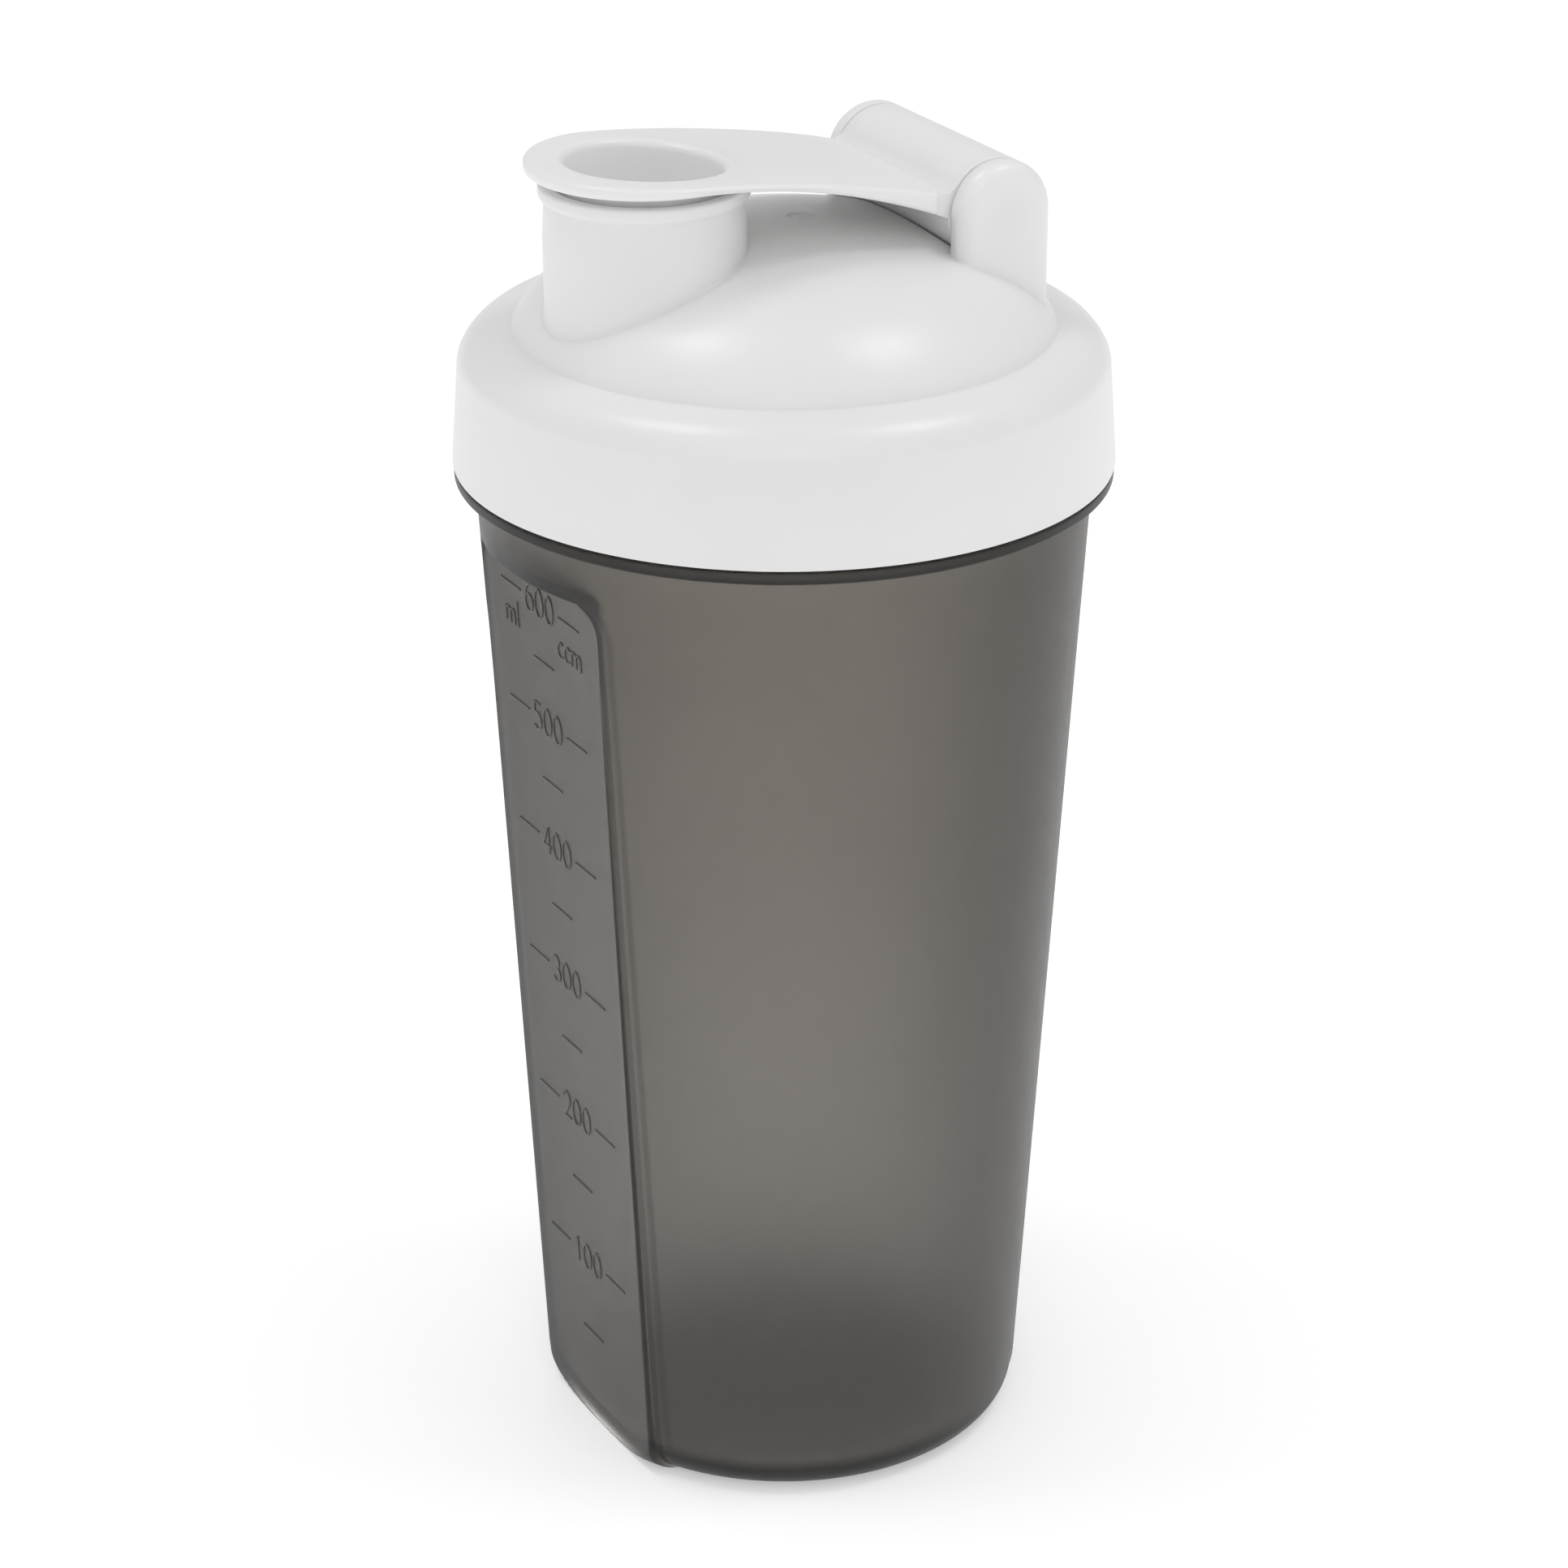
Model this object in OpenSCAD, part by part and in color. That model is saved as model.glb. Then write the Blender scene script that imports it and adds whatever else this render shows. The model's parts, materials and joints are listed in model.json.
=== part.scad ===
// Protein shaker bottle: a tapered cup with a flat measuring panel, a screw lid with a
// round spout, and a flip cap whose hollow plug closes the spout.
// Millimetres. +Z is up, the base stands on z = 0, the cup's axis is the Z axis.
// The front, with the measuring panel and the spout, faces -Y. The hinge is at +Y.

/* [Cup] */
// Outer radius of the cup, carried down to the standing face
cup_base_r = 35.6; // [30:0.1:40]
// Growth of the outer radius for each millimetre of height
cup_taper = 0.057; // [0.03:0.001:0.08]
// Wall thickness of the cup
cup_wall = 1.6; // [1.2:0.1:2.5]
// Radius of the rounded edge round the base
base_edge_r = 4.9; // [2:0.1:8]
// Height of the cup's inner floor
floor_z = 3.0; // [2:0.1:5]
// Radius of the shallow recess under the base
foot_recess_r = 27; // [15:0.5:29]
// Height of the cup's rim
rim_z = 167; // [160:0.5:170]

/* [Measuring panel] */
// Distance from the axis to the flat panel at the base
panel_d = 32.4; // [31:0.1:34]
// Growth of that distance for each millimetre of height
panel_taper = 0.051; // [0.03:0.001:0.07]
// Height of the ledge that ends the panel
panel_top = 142.6; // [135:0.1:146]
// Radius of the panel's upper corners
panel_corner_r = 5; // [2:0.5:8]
// Half of the panel's width at its foot, where its edges stand proud of the round wall
panel_foot_w = 17.0; // [15:0.1:18]
// Half of the panel's width at its top, where it is sunk into the round wall
panel_head_w = 18.2; // [17:0.1:20]
// Height of the measuring bars above the panel
bar_relief = 0.2; // [0.1:0.05:0.4]
// Height of each measuring bar's line
bar_line = 0.35; // [0.2:0.05:0.8]

/* [Neck and thread] */
// Outer radius of the neck inside the lid
neck_r = 43.2; // [42:0.1:44]
// Inner radius of the mouth
mouth_r = 41.6; // [40:0.1:42]
// Radius of the flange under the lid's skirt
flange_r = 47.2; // [45:0.1:47.4]
// Height of the flange's lower face
flange_low = 151; // [149:0.1:152]
// Height of the flange's upper face
flange_top = 152.7; // [150:0.1:153]
// Height that the lid climbs in one full turn
thread_lead = 12; // [6:0.5:16]
// Number of thread starts
thread_starts = 2; // [1:1:4]

/* [Screw lid] */
// Height of the skirt's lower edge
skirt_z = 153; // [152:0.1:155]
// Outer radius of the skirt's lower edge
skirt_r = 47.4; // [46:0.1:49]
// Inner radius of the skirt
skirt_inner_r = 45.2; // [44.8:0.1:46]
// Height of the dome's top
dome_top = 187.7; // [184:0.1:192]
// Radius of curvature of the dome's flat middle
dome_r = 84.5; // [60:0.5:120]
// Radius of curvature of the dome's flank
flank_r = 25.3; // [15:0.1:40]
// Thickness of the dome
dome_wall = 2; // [1.5:0.1:3]

/* [Spout] */
// Distance from the lid's axis to the spout's axis
spout_y = 21.9; // [18:0.1:24]
// Outer radius of the spout's tube just below its lip
spout_r = 13.9; // [12:0.1:16]
// Radius of the spout's bore
bore_r = 12.45; // [10:0.05:14]
// Outer radius of the spout's lip
lip_r = 14.7; // [14:0.1:17]
// Height of the lip's upper face
lip_top = 196.3; // [190:0.1:198]

/* [Flip cap] */
// Radius of the round head over the spout
head_r = 16.6; // [14:0.1:20]
// Half of the arm's width
arm_half_w = 17; // [12:0.1:18]
// Radius of the plug where it leaves the head
plug_r = 12.1; // [9:0.05:13]
// Radius of the plug at its lower end
plug_end_r = 11.4; // [8:0.05:13]
// Height of the plug's lower end
plug_z = 187; // [184:0.5:192]
// Wall thickness of the plug
plug_wall = 1.15; // [0.8:0.05:2]

/* [Hinge] */
// Distance from the lid's axis to the hinge axis
hinge_y = 24.7; // [20:0.1:30]
// Height of the hinge axis
hinge_z = 189.7; // [186:0.1:194]
// Radius of the cap's barrel
barrel_r = 7.4; // [5:0.1:9]
// Half of the barrel's length
barrel_half = 16; // [12:0.1:20]
// Half of the width of each lug, which is also its top radius
lug_r = 7.4; // [5:0.1:9]
// Thickness of each lug
lug_thick = 3.6; // [2.5:0.1:6]
// Radius of the stub axles
axle_r = 2.5; // [1.5:0.1:4]

/* [Hidden] */
gap = 0.3;               // play between parts that pass each other
axle_play = 0.05;        // radial play of an axle in its socket
$fn = 96;

panel_lean = atan(panel_taper);
scale_z = 2;             // foot of a plain cone that holds the same volume as the cup
scale_r = 32.86;         // radius of that cone at its foot
scale_taper = 0.0683;    // growth of that radius for each millimetre of height
lug_in = barrel_half + gap;
lug_out = lug_in + lug_thick;
dome_cz = dome_top - dome_r;
flank_a = 73.3;          // slope of the radius where the dome's middle runs into its flank
flank_cx = (dome_r - flank_r) * cos(flank_a);
flank_cz = dome_cz + (dome_r - flank_r) * sin(flank_a);
dome_edge_r = 39.2;      // where the flank meets the shoulder
ceiling_z = 169.6;
seat_z = 162;            // ledge in the mouth that carries the strainer
seat_r = 40;
strainer_r = mouth_r - 0.4;
smoke = [0.37, 0.35, 0.33];
white = [0.86, 0.86, 0.85];

// radius of the cup's outer wall at a height
function wall_r(z) = cup_base_r + cup_taper * z;

// points on an arc round [cx, cz], from angle a0 to a1
function arc(cx, cz, r, a0, a1, n = 8) =
    [for (i = [0:n]) let (a = a0 + (a1 - a0) * i / n) [cx + r * cos(a), cz + r * sin(a)]];

// the same points from last to first, and all points but the first
function reversed(v) = [for (i = [len(v) - 1:-1:0]) v[i]];
function rest(v) = [for (i = [1:len(v) - 1]) v[i]];

// side view of the dome from a radius up to its top, drawn in by an inset
function dome_side(r, inset) = concat(
    arc(flank_cx, flank_cz, flank_r - inset, acos((r - flank_cx) / (flank_r - inset)), flank_a, 16),
    rest(arc(0, dome_cz, dome_r - inset, flank_a, 90, 12)));

// radius of the dome at a height on its flank
function flank_x(z, inset) = flank_cx + sqrt(pow(flank_r - inset, 2) - pow(z - flank_cz, 2));

// height of the liquid for a volume in millilitres
function level(ml) = scale_z
    + (pow(3 * scale_taper * ml * 1000 / PI + pow(scale_r, 3), 1 / 3) - scale_r) / scale_taper;

// one ring of a thread ridge: root, crest, crest, root
function ridge_ring(root, crest, z, a, half_root, half_crest) =
    [for (p = [[root, -half_root], [crest, -half_crest], [crest, half_crest], [root, half_root]])
        [p[0] * cos(a), p[0] * sin(a), z + p[1]]];

// a helical ridge that fades out at both ends
module ridge(root, crest, z0, turns, start) {
    n = 36;
    rings = [for (i = [0:n]) let (
        a = start + 360 * turns * i / n,
        f = min(1, i / 5, (n - i) / 5),
        tip = root + (crest - root) * (0.12 + 0.88 * f))
        each ridge_ring(root, tip, z0 + thread_lead * turns * i / n, a, 1.1, 0.5)];
    sides = [for (i = [0:n - 1], k = [0:3]) let (b = 4 * i, m = (k + 1) % 4)
        [b + k, b + 4 + k, b + 4 + m, b + m]];
    faces = concat([[0, 1, 2, 3]], sides, [[4 * n + 3, 4 * n + 2, 4 * n + 1, 4 * n]]);
    outward = crest > root;
    polyhedron(rings, outward ? faces : [for (f = faces) [for (k = [3:-1:0]) f[k]]]);
}

// places children on the leaning panel: x across it, z up it, -y out of it
module on_panel() {
    translate([0, -panel_d, 0]) rotate([panel_lean, 0, 0]) children();
}

// outline of the panel, x across and y up, made larger by a margin
module panel_outline(margin) {
    r = panel_corner_r;
    w = panel_head_w + margin;
    foot = panel_foot_w + margin;
    t = panel_top / cos(panel_lean) + margin;
    polygon([[-foot, -5], [foot, -5], [w, t - r], [w - r, t], [r - w, t], [-w, t - r]]);
    for (s = [-1, 1]) translate([s * (w - r), t - r]) circle(r);
}

// everything in front of the panel's plane, within its outline
module panel_block(depth, margin) {
    on_panel() translate([0, depth, 0]) rotate([90, 0, 0]) linear_extrude(20) panel_outline(margin);
}

// thickening of the wall behind the panel; its edges stand proud of the round wall low down
module panel_backing() {
    proud = 1.15;
    intersection() {
        on_panel() translate([0, 5, 0]) rotate([90, 0, 0]) linear_extrude(6) panel_outline(-0.05);
        rotate_extrude() polygon(concat(
            [[0, 0.1]],
            arc(cup_base_r + proud - base_edge_r, base_edge_r + 0.1, base_edge_r, -90, -3),
            [[wall_r(130) + proud, 130], [0, 130]]));
    }
}

module cup() {
    color(smoke) difference() {
        union() {
            rotate_extrude() polygon(concat(
                [[0, 1], [foot_recess_r - 1, 1], [foot_recess_r, 0]],
                arc(cup_base_r - base_edge_r, base_edge_r, base_edge_r, -90, -3),
                [[wall_r(flange_low), flange_low], [flange_r - 0.4, flange_low],
                 [flange_r, flange_low + 0.4], [flange_r, flange_top],
                 [neck_r, flange_top], [neck_r, rim_z - 0.5], [neck_r - 0.5, rim_z],
                 [mouth_r + 0.4, rim_z], [mouth_r, rim_z - 0.4], [0, rim_z - 0.4]]));
            panel_backing();
        }
        difference() {
            rotate_extrude() polygon(concat(
                [[0, floor_z]],
                arc(cup_base_r - base_edge_r, floor_z + base_edge_r - cup_wall, base_edge_r - cup_wall, -90, -3),
                [[wall_r(150) - cup_wall, 150], [mouth_r - 0.3, 154], [seat_r, 159], [seat_r, seat_z],
                 [mouth_r, seat_z], [mouth_r, rim_z + 1], [0, rim_z + 1]]));
            panel_block(cup_wall, cup_wall);
        }
        panel_block(0, 0);
    }
}

module cup_thread() {
    color(smoke) for (s = [0:thread_starts - 1])
        ridge(neck_r - 0.35, neck_r + 1.2, 156, 0.5, 360 * s / thread_starts);
}

// a raised bar across the panel, from x0 to x1
module bar(x0, x1, z) {
    on_panel() translate([x0, -bar_relief, (z - bar_line / 2) / cos(panel_lean)])
        cube([x1 - x0, bar_relief, bar_line]);
}

module measuring_scale() {
    color([0.2, 0.2, 0.2]) {
        for (ml = [100:100:600], s = [-1, 1]) bar(s * 9.15 - 3.15, s * 9.15 + 3.15, level(ml));
        for (ml = [50:100:550]) bar(-3.2, 3.2, level(ml));
    }
}

// a sieve of thin rings and spokes in a stiff rim
module strainer() {
    h = 2;
    color(smoke) {
        translate([0, 0, seat_z + 0.2]) {
            rotate_extrude() translate([36.3, 0]) square([strainer_r - 36.3, 3.4]);
            for (r = [5.3:5.3:32]) rotate_extrude() translate([r - 0.8, 0]) square([1.6, h]);
            for (a = [0:30:330]) rotate(a) translate([0, -0.7, 0]) cube([36.6, 1.4, h]);
        }
    }
}

module lid_gasket() {
    color([0.8, 0.8, 0.8]) rotate_extrude() translate([40.9, rim_z + 0.2]) square([2.3, 2.1]);
}

// skirt and soft shoulder of the lid, with the ceiling that presses on the gasket
module lid_skirt() {
    color(white) rotate_extrude() polygon(concat(
        [[skirt_inner_r + 0.5, skirt_z], [skirt_r - 0.3, skirt_z], [skirt_r, skirt_z + 0.4]],
        arc(42.4, 167.2, 4, 0, 24),
        rest(arc(40, 166.15, 6.6, 24, 90, 12)),
        rest(arc(40, 172.05, 0.7, 90, 160)),
        [dome_side(dome_edge_r, 0)[0], [dome_edge_r, ceiling_z], [43.4, ceiling_z],
         [skirt_inner_r, 167.4], [skirt_inner_r, skirt_z + 0.5]]));
}

// everything under the dome's surface, drawn in by an inset
module under_dome(inset) {
    r = flank_x(ceiling_z, inset);
    rotate_extrude() polygon(concat([[0, 150], [r, 150]], dome_side(r, inset)));
}

// domed middle of the lid, open under the spout, with a trough for the barrel and a gate mark
module lid_dome() {
    inner_edge_r = flank_x(ceiling_z, dome_wall);
    color(white) difference() {
        union() {
            rotate_extrude() polygon(concat(
                [[inner_edge_r, ceiling_z], [dome_edge_r, ceiling_z]],
                dome_side(dome_edge_r, 0),
                reversed(rest(dome_side(inner_edge_r, dome_wall)))));
            intersection() {
                hinge_cylinder(barrel_r + gap + 1.6, lug_in + 1.6);
                under_dome(0.5);
            }
        }
        translate([0, -spout_y, 0]) spout_body();
        hinge_cylinder(barrel_r + gap, lug_in);
        translate([0, 2.75, dome_top - 0.3]) cylinder(h = 2, r = 2.1);
    }
}

module lid_thread() {
    color(white) for (s = [0:thread_starts - 1])
        ridge(skirt_inner_r + 0.35, neck_r + 0.7, 156 + thread_lead / thread_starts / 2, 0.5,
              360 * s / thread_starts);
}

// outside of the spout's tube, slightly wider at its foot
module spout_body() {
    translate([0, 0, 165]) cylinder(h = 29, r1 = spout_r + 0.5, r2 = spout_r);
}

module spout() {
    color(white) difference() {
        translate([0, -spout_y, 0]) difference() {
            union() {
                spout_body();
                translate([0, 0, 194]) cylinder(h = 1, r1 = spout_r, r2 = lip_r);
                translate([0, 0, 195]) cylinder(h = lip_top - 195, r = lip_r);
            }
            translate([0, 0, 160]) cylinder(h = 40, r = bore_r);
            translate([0, 0, lip_top - 0.6]) cylinder(h = 0.7, r1 = bore_r, r2 = bore_r + 0.7);
        }
        under_dome(dome_wall);
    }
}

// a cylinder along the hinge axis, from -half to half
module hinge_cylinder(r, half) {
    translate([-half, hinge_y, hinge_z]) rotate([0, 90, 0]) cylinder(h = 2 * half, r = r);
}

module hinge_lugs() {
    color(white) difference() {
        for (s = [-1, 1]) translate([s * (lug_in + lug_out) / 2, 0, 0])
            rotate([90, 0, 90]) linear_extrude(lug_thick, center = true) {
                translate([hinge_y, hinge_z]) circle(lug_r);
                translate([hinge_y - lug_r, hinge_z - 25]) square([2 * lug_r, 25]);
            }
        under_dome(0);
        hinge_cylinder(axle_r + axle_play, barrel_half + 2.6);
    }
}

// plan of the cap: round head, straight arm, and the neck that runs into the barrel
module cap_plan() {
    translate([0, -spout_y]) circle(head_r);
    translate([-arm_half_w, -12]) square([2 * arm_half_w, 27]);
    translate([-arm_half_w + 0.6, -spout_y]) square([2 * arm_half_w - 1.2, 12]);
    translate([-barrel_half, 0]) square([2 * barrel_half, hinge_y]);
}

// side view of the cap, y along and z up: a long arc on top, a tighter one below
module cap_side() {
    difference() {
        translate([-36.5, 199.8 - 208]) circle(208, $fn = 360);
        translate([-23.3, 198 - 95]) circle(95, $fn = 360);
        translate([-300, -300]) square([276.7, 498]);
        translate([-300, -300]) square([600, 480]);
    }
}

module flip_cap() {
    color(white) difference() {
        union() {
            intersection() {
                translate([0, 0, 150]) linear_extrude(80) cap_plan();
                translate([-30, 0, 0]) rotate([90, 0, 90]) linear_extrude(60) cap_side();
            }
            hinge_cylinder(barrel_r, barrel_half);
            hinge_cylinder(axle_r, barrel_half + 2.3);
        }
        translate([0, -spout_y, 180]) cylinder(h = 30, r = plug_r);
    }
}

// hollow plug that closes the spout and leaves a finger recess
module spout_plug() {
    color(white) intersection() {
        translate([0, -spout_y, 0]) rotate_extrude() polygon([
            [0, plug_z], [plug_end_r - 0.8, plug_z], [plug_end_r, plug_z + 0.8], [plug_r, 198], [plug_r, 202],
            [plug_r - plug_wall + 0.5, 202], [plug_r - plug_wall, 198.6],
            [plug_end_r - plug_wall, plug_z + 2.4], [plug_end_r - plug_wall - 1.2, plug_z + 1.2],
            [0, plug_z + 1.2]]);
        translate([-30, 0, 0]) rotate([90, 0, 90]) linear_extrude(60) translate([-36.5, 199.8 - 208])
            circle(208, $fn = 360);
    }
}

cup();
cup_thread();
measuring_scale();
strainer();
lid_gasket();
lid_skirt();
lid_dome();
lid_thread();
spout();
hinge_lugs();
flip_cap();
spout_plug();
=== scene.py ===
"""Looks of the shaker bottle: smoky cup with a measuring panel, white lid, spout and flip cap.

Lengths in this file are millimetres until mesh() turns them into metres. The frame is the
CAD model's: base on z = 0, spout and measuring panel towards -Y, hinge towards +Y.
"""
import bmesh
import bpy
import json
from math import acos, atan, cos, degrees, hypot, pi, radians, sin, sqrt
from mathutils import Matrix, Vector, geometry


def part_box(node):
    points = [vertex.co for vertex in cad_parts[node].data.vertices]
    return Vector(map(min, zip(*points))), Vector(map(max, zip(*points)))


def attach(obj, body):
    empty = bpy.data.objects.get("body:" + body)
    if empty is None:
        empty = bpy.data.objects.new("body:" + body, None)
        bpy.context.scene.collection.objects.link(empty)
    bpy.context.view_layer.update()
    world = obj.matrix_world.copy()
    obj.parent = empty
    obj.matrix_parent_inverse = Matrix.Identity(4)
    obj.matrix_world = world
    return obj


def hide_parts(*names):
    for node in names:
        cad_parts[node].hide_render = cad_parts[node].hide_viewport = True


MM = 0.001

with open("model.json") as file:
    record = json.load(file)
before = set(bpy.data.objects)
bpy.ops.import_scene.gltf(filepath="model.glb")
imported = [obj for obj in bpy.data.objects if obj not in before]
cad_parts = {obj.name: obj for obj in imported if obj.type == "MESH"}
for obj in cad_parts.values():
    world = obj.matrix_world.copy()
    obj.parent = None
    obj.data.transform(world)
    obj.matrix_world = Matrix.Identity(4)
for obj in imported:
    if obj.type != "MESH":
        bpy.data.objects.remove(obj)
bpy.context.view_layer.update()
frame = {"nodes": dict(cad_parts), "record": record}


def mm_box(node):
    """Lowest and highest corner of a CAD node, in millimetres."""
    low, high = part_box(node)
    return [c / MM for c in low], [c / MM for c in high]


joints = {j["name"]: j for j in frame["record"]["behaviour"]["joints"]}
HINGE_Y, HINGE_Z = (c / MM for c in joints["cap_open"]["pos_m"][1:])

# Cup. The wall and the panel lean outwards by their taper.
BASE_R, WALL_TAPER, WALL = 35.6, 0.057, 1.6
BASE_EDGE_R, FOOT_RECESS_R, FLOOR_Z = 4.9, 27.0, 3.0
PANEL_D, PANEL_TAPER, PANEL_TOP, PANEL_CORNER_R = 32.4, 0.051, 142.6, 5.0
PANEL_FOOT_W, PANEL_HEAD_W, PANEL_PROUD = 17.0, 18.2, 1.15
FLANGE_R, FLANGE_LOW, FLANGE_TOP, NECK_R, MOUTH_R = 47.2, 151.0, 152.7, 43.2, 41.6
SEAT_Z, SEAT_R = 162.0, 40.0
RIM_Z = mm_box("cup")[1][2]

# Lid. The dome is a wide arc that runs into a tighter flank at DOME_TURN from the level.
SKIRT_Z = mm_box("lid_skirt")[0][2]
SKIRT_R, SKIRT_INNER_R = 47.4, 45.2
DOME_TOP = mm_box("lid_dome")[1][2]
DOME_R, FLANK_R, DOME_TURN, DOME_EDGE_R, DOME_WALL, CEILING_Z = 84.5, 25.3, 73.3, 39.2, 2.0, 169.6
DOME_CZ = DOME_TOP - DOME_R
FLANK_CX = (DOME_R - FLANK_R) * cos(radians(DOME_TURN))
FLANK_CZ = DOME_CZ + (DOME_R - FLANK_R) * sin(radians(DOME_TURN))

# Spout.
SPOUT_Y = sum(mm_box("spout")[i][1] for i in (0, 1)) / 2
SPOUT_R, BORE_R, LIP_R = 13.9, 12.45, 14.7
LIP_TOP = mm_box("spout")[1][2]

# Flip cap: round head, straight arm, barrel.
HEAD_R, ARM_HALF_W = 16.6, 17.0
PLUG_R, PLUG_END_R, PLUG_Z, PLUG_WALL = 12.1, 11.4, 187.0, 1.15
BARREL_R, BARREL_HALF, AXLE_R = 7.4, 16.0, 2.5
LUG_R, LUG_IN, LUG_OUT = 7.4, 16.3, 19.9


# ---------------------------------------------------------------- mesh helpers

def mesh(name, verts, faces, material, body, slot, replaces=(), sharp=32):
    """A smooth-shaded piece from points in millimetres that rides on a body."""
    data = bpy.data.meshes.new(name)
    data.from_pydata([Vector(v) * MM for v in verts], [], faces)
    data.validate()
    piece = bpy.data.objects.new(name, data)
    bpy.context.scene.collection.objects.link(piece)
    finish_mesh(piece, material, sharp)
    if body:
        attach(piece, body)
    if replaces:
        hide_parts(*replaces)
    return piece


def finish_mesh(piece, material, sharp):
    """Outward normals, smooth shading with sharp edges kept, and the material."""
    bm = bmesh.new()
    bm.from_mesh(piece.data)
    bmesh.ops.remove_doubles(bm, verts=bm.verts, dist=0.000002)
    bmesh.ops.recalc_face_normals(bm, faces=bm.faces)
    bm.to_mesh(piece.data)
    bm.free()
    piece.data.shade_smooth()
    piece.data.set_sharp_from_angle(angle=radians(sharp))
    piece.data.materials.clear()
    piece.data.materials.append(material)


def arc(cx, cz, r, a0, a1, n=10):
    """Points on an arc round (cx, cz), angles in degrees."""
    return curve(cx, cz, r, r, a0, a1, n)


def curve(cx, cz, rx, rz, a0, a1, n=14):
    """Points on an ellipse's arc round (cx, cz), angles in degrees."""
    angles = [radians(a0 + (a1 - a0) * i / n) for i in range(n + 1)]
    return [(cx + rx * cos(a), cz + rz * sin(a)) for a in angles]


def bridge(rows, closed):
    """Quads between successive rows of equal length."""
    n = len(rows[0])
    faces = []
    for a, b in zip(rows, rows[1:]):
        for i in range(n if closed else n - 1):
            k = (i + 1) % n
            faces.append((a[i], a[k], b[k], b[i]))
    return faces


def loft(rings, loop=False, closed=True):
    """Vertices and quads of a skin through rings of points; loop joins the last ring to the first."""
    verts = [p for ring in rings for p in ring]
    n = len(rings[0])
    rows = [list(range(k * n, k * n + n)) for k in range(len(rings))]
    if loop:
        rows.append(rows[0])
    return verts, bridge(rows, closed)


def revolve(profile, segments=256, cx=0.0, cy=0.0):
    """Rings of a closed or open profile [(r, z)] turned round a vertical axis."""
    return [[(cx + r * cos(2 * pi * i / segments), cy + r * sin(2 * pi * i / segments), z)
             for i in range(segments)] for r, z in profile]


def cut(piece, cutter, operation="DIFFERENCE"):
    """Takes the cutter's volume out of the piece (or joins or keeps it) and removes the cutter."""
    mod = piece.modifiers.new("cut", "BOOLEAN")
    mod.operation, mod.solver, mod.object = operation, "EXACT", cutter
    graph = bpy.context.evaluated_depsgraph_get()
    done = bpy.data.meshes.new_from_object(piece.evaluated_get(graph))
    piece.modifiers.clear()
    piece.data = done
    bpy.data.objects.remove(cutter)


def dome_z(x, y, inset=0.0):
    """Height of the dome at a point, inset below its outer surface."""
    r = min(hypot(x, y), DOME_EDGE_R)
    if r < (DOME_R - inset) * cos(radians(DOME_TURN)):
        return DOME_CZ + sqrt((DOME_R - inset) ** 2 - r * r)
    return FLANK_CZ + sqrt(max((FLANK_R - inset) ** 2 - (r - FLANK_CX) ** 2, 0))


def dome_side(r, inset, n=40):
    """Side view of the dome from radius r up to its top."""
    start = degrees(acos((r - FLANK_CX) / (FLANK_R - inset)))
    return (arc(FLANK_CX, FLANK_CZ, FLANK_R - inset, start, DOME_TURN, n)
            + arc(0, DOME_CZ, DOME_R - inset, DOME_TURN, 90, n)[1:])


def flank_x(z, inset):
    """Radius of the dome's flank at a height."""
    return FLANK_CX + sqrt((FLANK_R - inset) ** 2 - (z - FLANK_CZ) ** 2)


# ---------------------------------------------------------------- materials

def new_material(name):
    """A material with only a Principled shader, its nodes and links."""
    material = bpy.data.materials.new(name)
    material.use_nodes = True
    nodes, links = material.node_tree.nodes, material.node_tree.links
    return material, nodes, links, nodes["Principled BSDF"]


def noise(nodes, links, coords, scale, detail=2.0, rough=0.5):
    """A noise texture on object coordinates, scale in waves per metre."""
    tex = nodes.new("ShaderNodeTexNoise")
    tex.inputs["Scale"].default_value = scale
    tex.inputs["Detail"].default_value = detail
    tex.inputs["Roughness"].default_value = rough
    links.new(coords, tex.inputs["Vector"])
    return tex.outputs["Fac"]


def ramp(nodes, links, value, low, high, out0, out1):
    """Maps low..high of a value to out0..out1."""
    node = nodes.new("ShaderNodeMapRange")
    for name, v in (("From Min", low), ("From Max", high), ("To Min", out0), ("To Max", out1)):
        node.inputs[name].default_value = v
    links.new(value, node.inputs["Value"])
    return node.outputs["Result"]


def mix_colour(nodes, links, factor, a, b):
    """Two colours mixed by a factor; a colour may be an output or a triple."""
    node = nodes.new("ShaderNodeMix")
    node.data_type = "RGBA"
    links.new(factor, node.inputs["Factor"])
    for name, c in (("A", a), ("B", b)):
        socket = [s for s in node.inputs if s.name == name and s.type == "RGBA"][0]
        if isinstance(c, tuple):
            socket.default_value = (*c, 1)
        else:
            links.new(c, socket)
    return [s for s in node.outputs if s.type == "RGBA"][0]


def bump(nodes, links, shader, height, strength, distance):
    """Bends the shader's normal by a height, distance in metres."""
    node = nodes.new("ShaderNodeBump")
    node.inputs["Strength"].default_value = strength
    node.inputs["Distance"].default_value = distance
    links.new(height, node.inputs["Height"])
    links.new(node.outputs["Normal"], shader.inputs["Normal"])


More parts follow.
